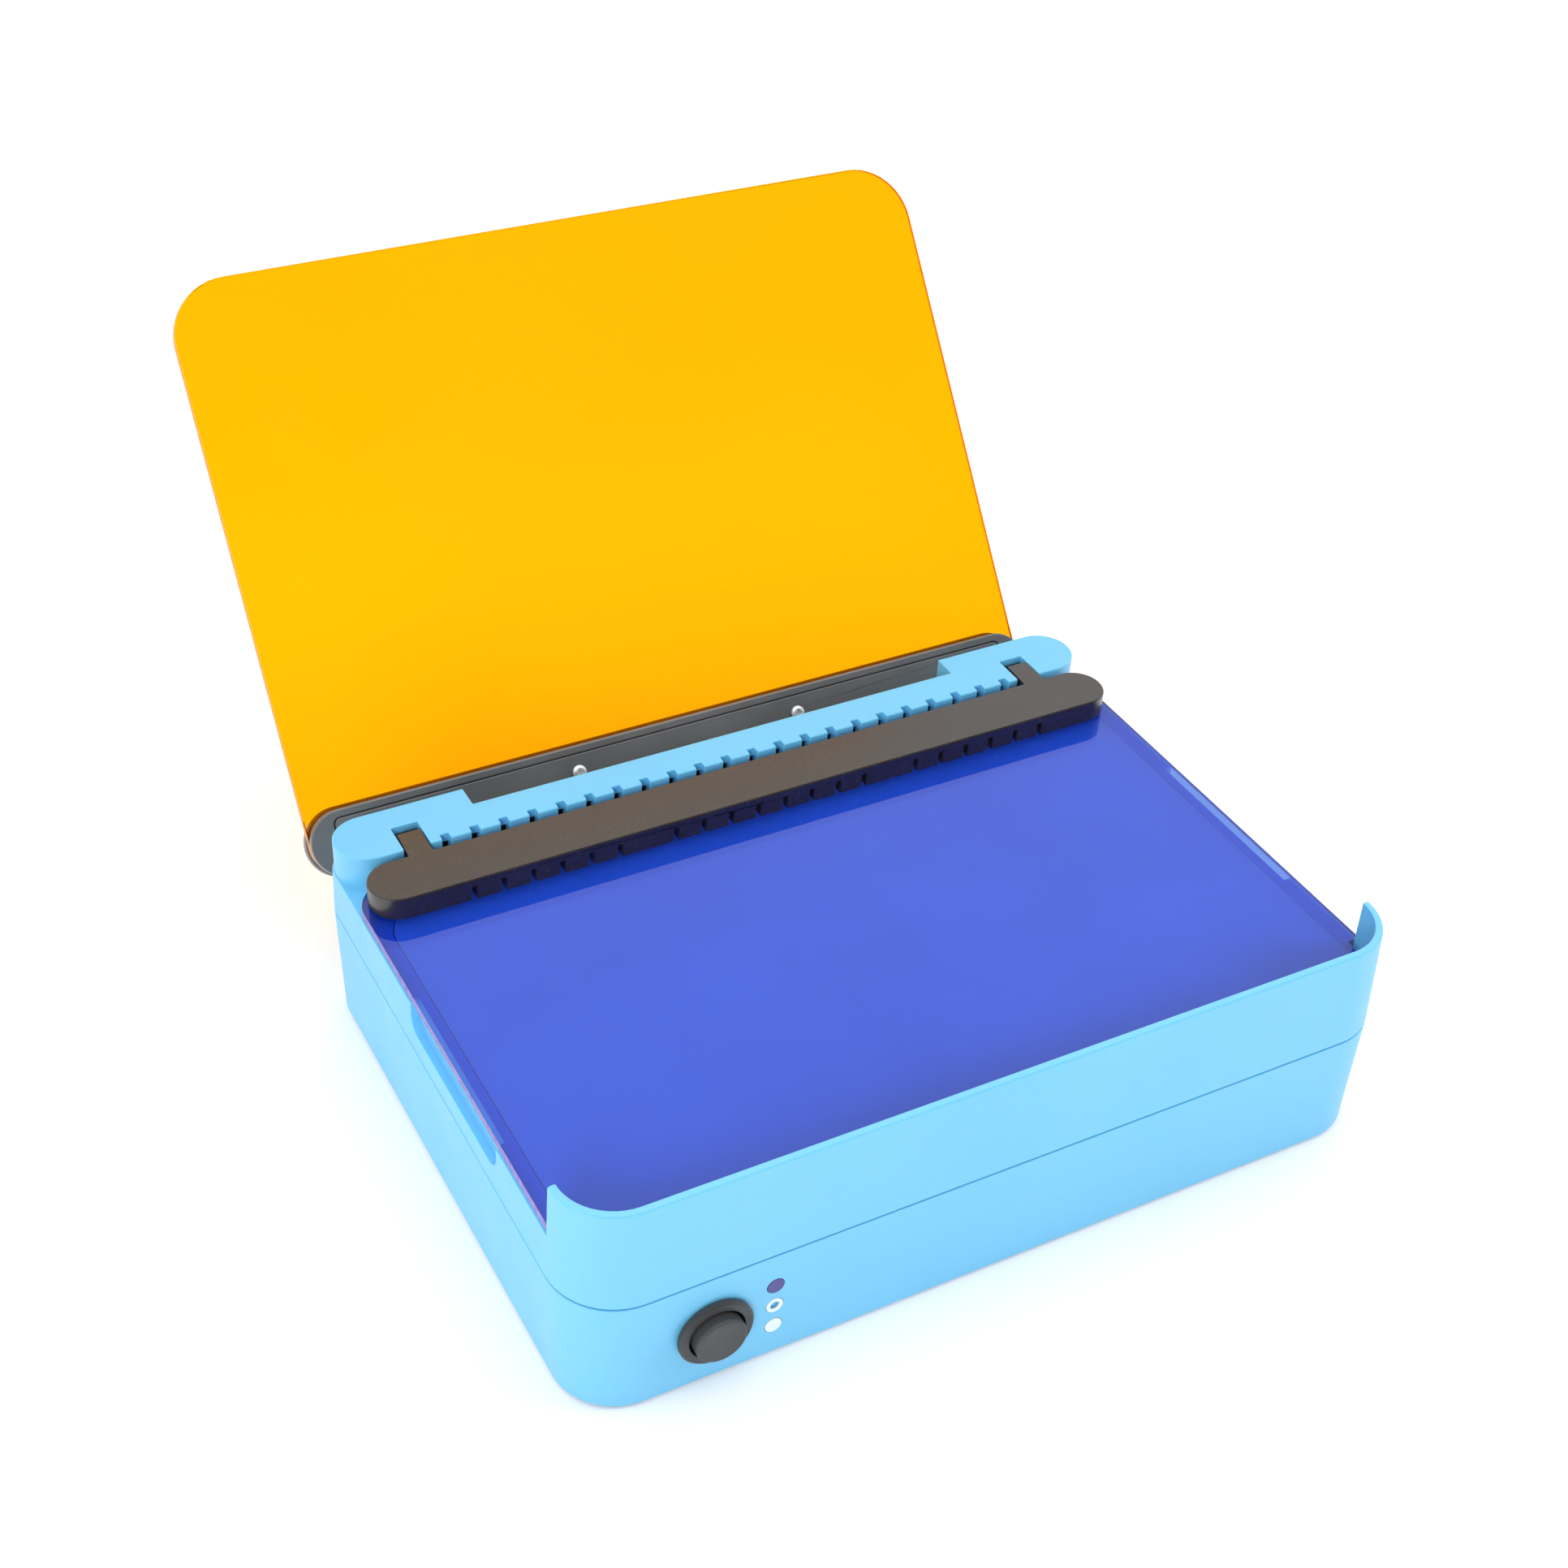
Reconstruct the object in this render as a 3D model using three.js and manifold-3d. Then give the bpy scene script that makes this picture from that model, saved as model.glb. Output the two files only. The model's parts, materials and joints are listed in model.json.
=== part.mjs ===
// Bench-top blue and white light box for looking at gels, with a hinged amber lid.
// Millimetres, +X to the right, +Y to the rear, +Z up.
// The origin is the centre of the housing's underside.
// The lid is drawn shut and then turned about its hinge to the pose it rests in.
import * as THREE from 'three';
import { mergeVertices } from 'three/addons/utils/BufferGeometryUtils.js';
import Module from 'manifold-3d';

const wasm = await Module();
wasm.setup();

// ---- Driving dimensions ------------------------------------------------------------------

const WIDTH = 275; // across the parting line
const DEPTH = 199;
const HALF_W = WIDTH / 2;
const FRONT = -DEPTH / 2;
const REAR = DEPTH / 2;
const FRONT_RADIUS = 20.5;
const REAR_RADIUS = 11.5;
const CORNER_STEPS = 6;
const GAP = 0.3; // between pieces that touch

const WALL = 2.6;
const FLOOR = 2.5;
const SEAM_Z = 41;
const SEAM_GAP = 0.7;
const LOWER_DRAFT = 1; // taper of the lower shell, parting line to underside
const BASE_EDGE = 2;
const DECK_Z = 57.2;
const DECK_THICK = 4.2;
const RIM_Z = 75.6;
const UPPER_DRAFT = 1.2; // taper of the upper shell, parting line to rim
const RIM_EDGE = 1.2;

const FENCE_INSET = 3.6; // parting line to the fence's inner face
const FENCE_END = -79;

const WINDOW = { halfWidth: 123, front: -86, rear: 60, radius: 12 };
const DIFFUSER = { halfWidth: 131.2, front: -90.5, rear: 62.5, radius: 14, thick: 2, rebate: 2.6 };
const PLATE = { halfWidth: 136.4, rear: 74.8, thick: 3.1, rearRadius: 13.2, noseGap: 2 };
const PLATE_Z = DECK_Z + GAP;
const PLATE_TOP = PLATE_Z + PLATE.thick;

const RIDGE = { halfWidth: 136.5, front: 76.1, rear: 98.3, top: 68.9, wall: 3 }; // raised rear block
const RIDGE_HOLLOW = { front: 81.5, rear: 94, end: 127 };
const CUTOUT = { halfWidth: 89.4, front: 89.4, floor: 45, floorWall: 1.2, cheek: 9 };
const VENTS = { count: 22, first: -103.4, width: 3, depth: 2.8, throughTop: RIDGE.top - 3.4 };
const VENT_PITCH = (-2 * VENTS.first) / (VENTS.count - 1);
const DUST_STRIP = { halfWidth: 110, front: 80.3, rear: 82, bottom: 53.6, top: 65.4 };
const TAB = { centre: 113.2, width: 7.8, rear: 84.4, thick: 3 };
const TAB_SLOT = { centre: 113.1, width: 8.8, rear: 88.3, floor: 61.5 };

const BAR = { halfWidth: 134, front: 53.4, rear: 72.9, top: 69, wall: 2.6, frontWall: 4.4, roof: 2.6 };
const BAR_Z = PLATE_TOP + GAP;
const BAR_SLOT = { width: 1.7, top: 66.3 };
const BAR_BLANKS = [6, 15]; // pitch positions on the bar that have no slot
const BAR_PORT_HALF_W = 105;

const RECESS = { front: -44.2, rear: 21.4, floor: 48.4, depth: 3.3, radius: 5 };

const HINGE = { y: 93.8, z: 54.2, barrel: 4, pin: 1.5, bore: 1.75 };
const OPEN_DEGREES = 126.3; // from shut to the rest pose
const LEAF_HALF_W = 84;
const SHEET = { halfWidth: 136.1, rear: 96.2, thick: 3, rearRadius: 9 };
const SHEET_Z = RIM_Z + GAP;
const CLAMP = { halfWidth: 136.5, front: 76.1, rear: 98.2, thick: 3.7 };
const OUTER_CLAMP = { halfWidth: 136.8, front: 75.2, rear: 98.5, thick: 4 };
const LEAF = { halfWidth: 127.6, front: 78.7, rear: 96, thick: 1.8, radius: 2.5 };
const LID_SCREWS_X = [-104, -42, 42, 104];
const LID_SCREW_Y = 85.3;

const SWITCH = { x: -96.5, z: 20.6, flange: 11.5, flangeThick: 2, barrel: 9.8, depth: 19 };
const ROCKER = { radius: 7.8, well: 8.6, proud: 4.2, behind: 4, pivotY: FRONT - 1 };
const MARKS = { x: -77.5, radius: 2.6, hole: 1.45, zOn: 28.4, zOff: 20.2, zWhite: 11.7 };

const POSTS = [[-127, -89.5], [127, -89.5], [-126, 78], [126, 78]];
const POST_RADIUS = 4;
const SCREW = { shank: 1.45, bore: 1.75, head: 2.8, headRoom: 3.3, seat: 3.4 };
const FEET = [[-104, -82], [104, -82], [-104, 80], [104, 80]];
const FOOT = { radius: 6, drop: 1, pocket: 1.5 };

const LIGHT_BOX = {
  halfWidth: 117, front: -66, rear: 56, wall: 1.6, radius: 6, bottom: 17.4, top: DECK_Z - DECK_THICK - GAP,
};
const LED_BOARD = { halfWidth: 119, front: -68, rear: 58, bottom: 15.5, thick: 1.6 };
const SPREADER = { bottom: 13.2, thick: 2 };
const STRUTS = [[-106, -56], [106, -56], [-106, 46], [106, 46]];
const LED_ROWS = [['blue', -50], ['white', -27], ['blue', -4], ['white', 19], ['blue', 42]];
const LEDS_PER_ROW = 11;

const DRIVER = { x: 18, y: 76, halfWidth: 42, halfDepth: 13, bottom: 9 };
const JACK = { x: 84, z: 22, radius: 5.5, socket: 3.2, pin: 1, flange: 7.5 };

const BIG = 400;

// ---- Materials ---------------------------------------------------------------------------

const paint = (color, roughness, metalness = 0, more = {}) =>
  new THREE.MeshStandardMaterial({ color, roughness, metalness, ...more });

const shellBlue = paint(0x93d2f7, 0.42);
const filterBlue = paint(0x2e44d8, 0.06, 0, { transparent: true, opacity: 0.85 });
const amber = paint(0xffbd00, 0.08, 0, { transparent: true, opacity: 0.85 });
const satinBlack = paint(0x46464a, 0.38);
const switchBlack = paint(0x2c2c2e, 0.45);
const steel = paint(0xc4c6c8, 0.3, 1);
const brass = paint(0xb9964f, 0.35, 1);
const aluminium = paint(0xaeb2b5, 0.45, 1);
const opalWhite = paint(0xf4f6f8, 0.6);
const boardWhite = paint(0xe9ece6, 0.5);
const boardGreen = paint(0x1d5a35, 0.45);
const ledBlue = paint(0x5b7bf0, 0.25);
const ledWhite = paint(0xf2e9b8, 0.25);
const rubber = paint(0x242426, 0.85);
const foamBlack = paint(0x141415, 0.95);
const markPurple = paint(0x6457a0, 0.5);
const markWhite = paint(0xf3f7fa, 0.5);
const wireRed = paint(0xa52a22, 0.5);

// ---- Shapes and solids -------------------------------------------------------------------

function solidOf(geometry) {
  geometry.deleteAttribute('normal');
  geometry.deleteAttribute('uv');
  const merged = mergeVertices(geometry, 1e-4);
  const vertProperties = new Float32Array(merged.attributes.position.array);
  const triVerts = new Uint32Array(merged.index.array);
  return new wasm.Manifold(new wasm.Mesh({ numProp: 3, vertProperties, triVerts }));
}

function meshOf(name, solid, material) {
  const { vertProperties, triVerts } = solid.getMesh();
  const geometry = new THREE.BufferGeometry();
  geometry.setAttribute('position', new THREE.BufferAttribute(new Float32Array(vertProperties), 3));
  geometry.setIndex(new THREE.BufferAttribute(new Uint32Array(triVerts), 1));
  geometry.computeVertexNormals();
  const mesh = new THREE.Mesh(geometry, material);
  mesh.name = name;
  return mesh;
}

function box(x0, x1, y0, y1, z0, z1) {
  const geometry = new THREE.BoxGeometry(x1 - x0, y1 - y0, z1 - z0);
  geometry.translate((x0 + x1) / 2, (y0 + y1) / 2, (z0 + z1) / 2);
  return solidOf(geometry);
}

function rodZ(x, y, radius, z0, z1, sides = 16) {
  const geometry = new THREE.CylinderGeometry(radius, radius, z1 - z0, sides);
  geometry.rotateX(Math.PI / 2);
  geometry.translate(x, y, (z0 + z1) / 2);
  return solidOf(geometry);
}

function rodY(x, z, radius, y0, y1, sides = 20) {
  const geometry = new THREE.CylinderGeometry(radius, radius, y1 - y0, sides);
  geometry.translate(x, (y0 + y1) / 2, z);
  return solidOf(geometry);
}

function rodX(y, z, radius, x0, x1, sides = 20) {
  const geometry = new THREE.CylinderGeometry(radius, radius, x1 - x0, sides);
  geometry.rotateZ(Math.PI / 2);
  geometry.translate((x0 + x1) / 2, y, z);
  return solidOf(geometry);
}

// A rectangle seen from above, with round corners.
function outline(halfWidth, front, rear, frontRadius, rearRadius) {
  const shape = new THREE.Shape();
  const quarter = Math.PI / 2;
  shape.absarc(halfWidth - frontRadius, front + frontRadius, frontRadius, -quarter, 0);
  shape.absarc(halfWidth - rearRadius, rear - rearRadius, rearRadius, 0, quarter);
  shape.absarc(-halfWidth + rearRadius, rear - rearRadius, rearRadius, quarter, 2 * quarter);
  shape.absarc(-halfWidth + frontRadius, front + frontRadius, frontRadius, 2 * quarter, 3 * quarter);
  return shape;
}

const stadium = (halfWidth, front, rear) =>
  outline(halfWidth, front, rear, (rear - front) / 2, (rear - front) / 2);

// The housing's outline at the parting line, moved inwards.
const housingOutline = (inset) =>
  outline(HALF_W - inset, FRONT + inset, REAR - inset, FRONT_RADIUS - inset, REAR_RADIUS - inset);

function prism(shape, z0, z1, curveSegments = CORNER_STEPS) {
  const geometry = new THREE.ExtrudeGeometry(shape, { depth: z1 - z0, bevelEnabled: false, curveSegments });
  geometry.translate(0, 0, z0);
  return solidOf(geometry);
}

// A prism with both ends rounded over.
function softPrism(shape, z0, z1, radius, bevelSegments = 2) {
  const geometry = new THREE.ExtrudeGeometry(shape, {
    depth: z1 - z0 - 2 * radius,
    bevelThickness: radius,
    bevelSize: radius,
    bevelOffset: -radius,
    bevelSegments,
    curveSegments: CORNER_STEPS,
  });
  geometry.translate(0, 0, z0 + radius);
  return solidOf(geometry);
}

// The housing's outer form from the parting line to another height, narrowing by the inset.
function draftedHousing(zEnd, inset) {
  const height = Math.abs(zEnd - SEAM_Z);
  const geometry = new THREE.ExtrudeGeometry(housingOutline(0), {
    depth: 0.01,
    bevelThickness: height,
    bevelSize: inset,
    bevelOffset: -inset,
    bevelSegments: 1,
    curveSegments: CORNER_STEPS,
  });
  geometry.translate(0, 0, SEAM_Z);
  return solidOf(geometry);
}

// A profile drawn in the Y-Z plane and pushed along X.
function alongX(points, x0, x1) {
  const shape = new THREE.Shape(points.map(([y, z]) => new THREE.Vector2(y, z)));
  const geometry = new THREE.ExtrudeGeometry(shape, { depth: x1 - x0, bevelEnabled: false });
  geometry.rotateY(Math.PI / 2);
  geometry.rotateX(Math.PI / 2);
  geometry.translate(x0, 0, 0);
  return solidOf(geometry);
}

// A body of revolution whose axis points towards -Y, from [radius, distance] points.
function turnedY(x, z, y, points, sides = 32) {
  const profile = points.map(([radius, out]) => new THREE.Vector2(radius, out));
  const geometry = new THREE.LatheGeometry(profile, sides);
  geometry.rotateX(Math.PI);
  geometry.translate(x, y, z);
  return solidOf(geometry);
}

const joined = (solids) => solids.reduce((all, next) => all.add(next));
const cut = (solid, tools) => tools.reduce((rest, tool) => rest.subtract(tool), solid);

// ---- Housing -----------------------------------------------------------------------------

function lowerHousing() {
  const top = SEAM_Z - SEAM_GAP / 2;
  const form = draftedHousing(0, LOWER_DRAFT)
    .intersect(softPrism(housingOutline(0), 0, 3 * SEAM_Z, BASE_EDGE, 3))
    .subtract(box(-BIG, BIG, -BIG, BIG, top, BIG));
  const postRoom = POSTS.map(([x, y]) => rodZ(x, y, POST_RADIUS, top, BIG));
  const lip = cut(prism(housingOutline(1.4), SEAM_Z - 6, SEAM_Z + 2.4), postRoom);
  const posts = POSTS.map(([x, y]) => rodZ(x, y, POST_RADIUS, 1, top));
  const struts = STRUTS.map(([x, y]) => rodZ(x, y, 4.5, 1, SPREADER.bottom - GAP));
  const driverStruts = [-1, 1].map((side) =>
    rodZ(DRIVER.x + side * (DRIVER.halfWidth - 6), DRIVER.y, 3.5, 1, DRIVER.bottom - GAP));
  const hollow = prism(housingOutline(WALL), FLOOR, BIG);
  const shell = joined([form.add(lip).subtract(hollow), ...posts, ...struts, ...driverStruts]);

  const screwBores = POSTS.flatMap(([x, y]) => [
    rodZ(x, y, SCREW.bore, -1, BIG),
    rodZ(x, y, SCREW.headRoom, -1, SCREW.seat),
  ]);
  const strutBores = STRUTS.map(([x, y]) => rodZ(x, y, 1.3, FLOOR + 1, BIG, 12));
  const footPockets = FEET.map(([x, y]) => rodZ(x, y, FOOT.radius + GAP, -1, FOOT.pocket));
  const floorVents = [-54, -42, -30, -18, -6, 6, 18, 30].flatMap((y) =>
    [-38, 38].map((x) => box(x - 22, x + 22, y - 1.5, y + 1.5, -1, FLOOR + 1)));
  const switchHole = rodY(SWITCH.x, SWITCH.z, SWITCH.barrel + GAP, FRONT - 5, FRONT + 8, 32);
  const jackHole = rodY(JACK.x, JACK.z, JACK.radius + GAP, REAR - 6, REAR + 5);
  const markPockets = [MARKS.zOn, MARKS.zOff, MARKS.zWhite].map((z) =>
    rodY(MARKS.x, z, MARKS.radius + 0.15, FRONT - 3, frontFaceY(z) + 0.8));
  return cut(shell, [
    ...screwBores, ...strutBores, ...footPockets, ...floorVents, ...markPockets, switchHole, jackHole,
  ]);
}

// How far forward the lower shell's front face is at a height.
function frontFaceY(z) {
  return FRONT + (LOWER_DRAFT * (SEAM_Z - z)) / SEAM_Z;
}

function upperHousing() {
  const bottom = SEAM_Z + SEAM_GAP / 2;
  const rimInset = UPPER_DRAFT * (1 - 3 / (RIM_Z - SEAM_Z));
  const drafted = draftedHousing(RIM_Z, UPPER_DRAFT);
  const softRim = softPrism(housingOutline(rimInset), SEAM_Z, RIM_Z, RIM_EDGE, 3);
  const form = drafted
    .subtract(box(-BIG, BIG, -BIG, BIG, RIM_Z - 3, BIG))
    .add(drafted.intersect(softRim).subtract(box(-BIG, BIG, -BIG, BIG, -BIG, RIM_Z - 3.001)))
    .subtract(box(-BIG, BIG, -BIG, BIG, -BIG, bottom));
  const aboveDeck = joined([
    prism(housingOutline(FENCE_INSET), DECK_Z, BIG),
    box(-BIG, BIG, FENCE_END, BIG, DECK_Z, BIG),
  ]);
  const ridge = softPrism(stadium(RIDGE.halfWidth, RIDGE.front, RIDGE.rear), SEAM_Z + 8, RIDGE.top, 0.3, 1);
  const lipRoom = prism(housingOutline(1.1), 0, SEAM_Z + 2.7);
  const hollow = prism(housingOutline(WALL), 0, DECK_Z - DECK_THICK);
  const shell = form.subtract(aboveDeck).add(ridge);

  const posts = POSTS.map(([x, y]) => rodZ(x, y, POST_RADIUS - 0.5, bottom, DECK_Z - DECK_THICK + 1));
  const recessBacks = [-1, 1].map((side) =>
    boxOnSide(side, HALF_W - 9, HALF_W - 2, RECESS.front - 4, RECESS.rear + 4, 45.5, DECK_Z - 1));
  const cheekEnd = CUTOUT.halfWidth + CUTOUT.cheek;
  const cutoutCheeks = [-1, 1].map((side) =>
    boxOnSide(side, CUTOUT.halfWidth - 1, cheekEnd, CUTOUT.front - 1, REAR - 2, CUTOUT.floor, DECK_Z));
  const underside = CUTOUT.floor - CUTOUT.floorWall;
  const cutoutFloor = box(-cheekEnd, cheekEnd, CUTOUT.front - WALL, REAR - 2, underside, CUTOUT.floor + 1);
  const cutoutWall = box(-cheekEnd, cheekEnd, CUTOUT.front - WALL, CUTOUT.front + 1, underside, DECK_Z);
  const roof = RIDGE.top - RIDGE.wall;
  const ridgeHollows = [
    box(-CUTOUT.halfWidth - 2, CUTOUT.halfWidth + 2, RIDGE_HOLLOW.front, CUTOUT.front - WALL, 0, roof),
    ...[-1, 1].map((side) => boxOnSide(
      side, cheekEnd, RIDGE_HOLLOW.end, RIDGE_HOLLOW.front, RIDGE_HOLLOW.rear, 0, roof)),
    box(
      -DUST_STRIP.halfWidth - GAP, DUST_STRIP.halfWidth + GAP, DUST_STRIP.front - GAP,
      DUST_STRIP.rear + GAP, 0, DUST_STRIP.top + GAP),
  ];
  const built = joined([
    cut(shell, [lipRoom, hollow]), ...posts, ...recessBacks, ...cutoutCheeks, cutoutFloor, cutoutWall,
  ]);

  const window = prism(
    outline(WINDOW.halfWidth, WINDOW.front, WINDOW.rear, WINDOW.radius, WINDOW.radius), SEAM_Z, DECK_Z + 1);
  const rebate = prism(diffuserOutline(0), DECK_Z - DIFFUSER.rebate, DECK_Z + 1);
  const cutoutRoom = box(-CUTOUT.halfWidth, CUTOUT.halfWidth, CUTOUT.front, BIG, CUTOUT.floor, BIG);
  const pinBores = [-1, 1].map((side) =>
    boreOnSide(side, HINGE.bore, CUTOUT.halfWidth - 1, cheekEnd - 0.5));
  const tabSlots = [-1, 1].map((side) => boxOnSide(
    side, TAB_SLOT.centre - TAB_SLOT.width / 2, TAB_SLOT.centre + TAB_SLOT.width / 2,
    RIDGE.front - 1, TAB_SLOT.rear, TAB_SLOT.floor, BIG));
  const vents = Array.from({ length: VENTS.count }, (_, index) => {
    const x = VENTS.first + index * VENT_PITCH;
    const half = VENTS.width / 2;
    const grooveFloor = RIDGE.front + VENTS.depth;
    return box(x - half, x + half, RIDGE.front - 1, grooveFloor, DECK_Z + 1, BIG)
      .add(box(x - half, x + half, grooveFloor - 0.5, DUST_STRIP.front, DECK_Z + 2, VENTS.throughTop));
  });
  const recesses = [-1, 1].map(fingerRecess);
  const postBores = POSTS.map(([x, y]) => rodZ(x, y, SCREW.bore, 0, DECK_Z - 5));
  return cut(built, [
    ...ridgeHollows, window, rebate, cutoutRoom, ...pinBores,
    ...tabSlots, ...vents, ...recesses, ...postBores,
  ]);
}

function boxOnSide(side, near, far, y0, y1, z0, z1) {
  return side > 0 ? box(near, far, y0, y1, z0, z1) : box(-far, -near, y0, y1, z0, z1);
}

function boreOnSide(side, radius, near, far, sides = 16) {
  return side > 0
    ? rodX(HINGE.y, HINGE.z, radius, near, far, sides)
    : rodX(HINGE.y, HINGE.z, radius, -far, -near, sides);
}

// A scallop in the top edge of a side wall, so that a finger reaches under the plate.
function fingerRecess(side) {
  const { front, rear, floor, depth, radius } = RECESS;
  const steps = 6;
  const points = [[rear, DECK_Z + 2], [front, DECK_Z + 2]];
  for (let i = 0; i <= steps; i += 1) {
    const angle = Math.PI + (i / steps) * (Math.PI / 2);
    points.push([front + radius + radius * Math.cos(angle), floor + radius + radius * Math.sin(angle)]);
  }
  for (let i = 0; i <= steps; i += 1) {
    const angle = -Math.PI / 2 + (i / steps) * (Math.PI / 2);
    points.push([rear - radius + radius * Math.cos(angle), floor + radius + radius * Math.sin(angle)]);
  }
  const near = HALF_W - depth;
  return side > 0 ? alongX(points, near, BIG) : alongX(points, -BIG, -near);
}

function foot([x, y]) {
  const { radius, drop, pocket } = FOOT;
  const geometry = new THREE.LatheGeometry([
    new THREE.Vector2(0, -drop),
    new THREE.Vector2(radius - 0.5, -drop),
    new THREE.Vector2(radius, -drop + 0.5),
    new THREE.Vector2(radius, pocket - GAP),
    new THREE.Vector2(0, pocket - GAP),
  ], 24);
  geometry.rotateX(Math.PI / 2);
  geometry.translate(x, y, 0);
  return solidOf(geometry);
}

function housingScrew([x, y]) {
  const head = rodZ(x, y, SCREW.head, 0.9, SCREW.seat - GAP, 20);
  const drive = rodZ(x, y, 1.2, 0, 2.1, 6);
  const shank = rodZ(x, y, SCREW.shank, 2.5, DECK_Z - 6, 12);
  return head.add(shank).subtract(drive);
}

// A strip of black foam behind the vent grooves.
function dustStrip() {
  const { halfWidth, front, rear, bottom, top } = DUST_STRIP;
  return box(-halfWidth, halfWidth, front, rear, bottom, top);
}

// ---- Light source ------------------------------------------------------------------------

function diffuserOutline(slack) {
  const { halfWidth, front, rear, radius } = DIFFUSER;
  return outline(halfWidth - slack, front + slack, rear - slack, radius - slack, radius - slack);
}

function diffuserSheet() {
  const bottom = DECK_Z - DIFFUSER.rebate + GAP;
  return prism(diffuserOutline(GAP), bottom, bottom + DIFFUSER.thick);
}

function lightBox() {
  const { halfWidth, front, rear, wall, radius, bottom, top } = LIGHT_BOX;
  const frame = (inset) =>
    outline(halfWidth - inset, front + inset, rear - inset, radius - inset, radius - inset);
  return prism(frame(0), bottom, top, 3).subtract(prism(frame(wall), bottom - 1, top + 1, 3));
}

function ledBoard() {
  const { halfWidth, front, rear, bottom, thick } = LED_BOARD;
  const board = box(-halfWidth, halfWidth, front, rear, bottom, bottom + thick);
  return cut(board, STRUTS.map(([x, y]) => rodZ(x, y, 1.8, 0, BIG, 12)));
}

function heatSpreader() {
  const { halfWidth, front, rear } = LED_BOARD;
  const plate = box(-halfWidth, halfWidth, front, rear, SPREADER.bottom, SPREADER.bottom + SPREADER.thick);
  return cut(plate, STRUTS.map(([x, y]) => rodZ(x, y, 1.8, 0, BIG, 12)));
}

function boardScrew([x, y]) {
  const top = LED_BOARD.bottom + LED_BOARD.thick + GAP;
  const head = rodZ(x, y, 2.6, top, top + 1.8, 16);
  return head.add(rodZ(x, y, 1.2, FLOOR + 3, top + 1, 12));
}

function ledRow(y) {
  const bottom = LED_BOARD.bottom + LED_BOARD.thick + GAP;
  const half = 88;
  const pitch = (2 * half - 10) / (LEDS_PER_ROW - 1);
  const strip = box(-half, half, y - 4, y + 4, bottom, bottom + 1);
  const chips = Array.from({ length: LEDS_PER_ROW }, (_, index) => {
    const x = -half + 5 + index * pitch;
    return box(x - 2.5, x + 2.5, y - 2.5, y + 2.5, bottom + 0.5, bottom + 2.2);
  });
  return joined([strip, ...chips]);
}

function driverBoard() {
  const { x, y, halfWidth, halfDepth, bottom } = DRIVER;
  const board = box(x - halfWidth, x + halfWidth, y - halfDepth, y + halfDepth, bottom, bottom + 1.6);
  return cut(board, [-1, 1].map((side) => rodZ(x + side * (halfWidth - 6), y, 1.5, 0, BIG, 12)));
}

function driverCoil() {
  const rise = DRIVER.bottom + 1.6 + GAP;
  return rodZ(DRIVER.x - 18, DRIVER.y, 7, rise, rise + 7, 20)
    .subtract(rodZ(DRIVER.x - 18, DRIVER.y, 2.6, rise - 1, rise + 8, 12));
}

function driverCapacitor() {
  const rise = DRIVER.bottom + 1.6 + GAP;
  return rodZ(DRIVER.x + 20, DRIVER.y + 2, 5, rise, rise + 13, 20);
}

// ---- Rocker switch and power inlet -------------------------------------------------------

function switchBody() {
  const { x, z, flange, flangeThick, barrel, depth } = SWITCH;
  const seat = FRONT - 0.1;
  const wellFloor = 6;
  const form = turnedY(x, z, seat, [
    [0, -depth], [barrel - 1.6, -depth], [barrel - 1.6, -7], [barrel - 0.3, -6.4], [barrel - 0.3, 0],
    [flange, 0], [flange, flangeThick - 0.7], [flange - 0.7, flangeThick], [0, flangeThick],
  ], 48);
  const well = rodY(x, z, ROCKER.well, seat - flangeThick - 1, seat + wellFloor, 48);
  return form.subtract(well);
}

function switchRocker() {
  const { radius, proud, behind, pivotY } = ROCKER;
  return turnedY(SWITCH.x, SWITCH.z, pivotY, [
    [0, -behind], [radius, -behind], [radius, proud - 0.8], [radius - 0.25, proud - 0.25],
    [radius - 0.8, proud], [0, proud - 0.25],
  ], 48);
}

function switchTerminal(index) {
  const x = SWITCH.x + (index - 1) * 5;
  const back = FRONT - 0.1 + SWITCH.depth + GAP;
  return box(x - 0.4, x + 0.4, back, back + 8, SWITCH.z - 2.4, SWITCH.z + 2.4);
}

function mark(z, hollow) {
  const face = frontFaceY(z) - 0.04;
  const disc = rodY(MARKS.x, z, MARKS.radius, face, face + 0.5, 32);
  return hollow ? disc.subtract(rodY(MARKS.x, z, MARKS.hole, face - 1, face + 1, 24)) : disc;
}

function powerJack() {
  const out = REAR + 0.2;
  const form = turnedY(JACK.x, JACK.z, out, [
    [0, -2], [JACK.flange - 0.5, -2], [JACK.flange, -1.5], [JACK.flange, 0],
    [JACK.radius, 0], [JACK.radius, 13], [0, 13],
  ], 32);
  const socket = rodY(JACK.x, JACK.z, JACK.socket, out - 9, out + 5);
  return form.subtract(socket).add(rodY(JACK.x, JACK.z, JACK.pin, out - 9.5, out + 0.5, 12));
}

function powerJackNut() {
  const inner = REAR - 1 - WALL - 0.6;
  return rodY(JACK.x, JACK.z, 8, inner - 2.5, inner, 6)
    .subtract(rodY(JACK.x, JACK.z, JACK.radius + GAP, inner - 4, inner + 1));
}

// A wire along a curve through the given points.
function wire(points, radius = 0.9) {
  const path = new THREE.CatmullRomCurve3(points.map((point) => new THREE.Vector3(...point)));
  const section = new THREE.Shape();
  section.absarc(0, 0, radius, 0, 2 * Math.PI);
  return solidOf(new THREE.ExtrudeGeometry(section, { steps: 14, extrudePath: path, curveSegments: 3 }));
}

// ---- Filter plate and vent bar -----------------------------------------------------------

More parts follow.
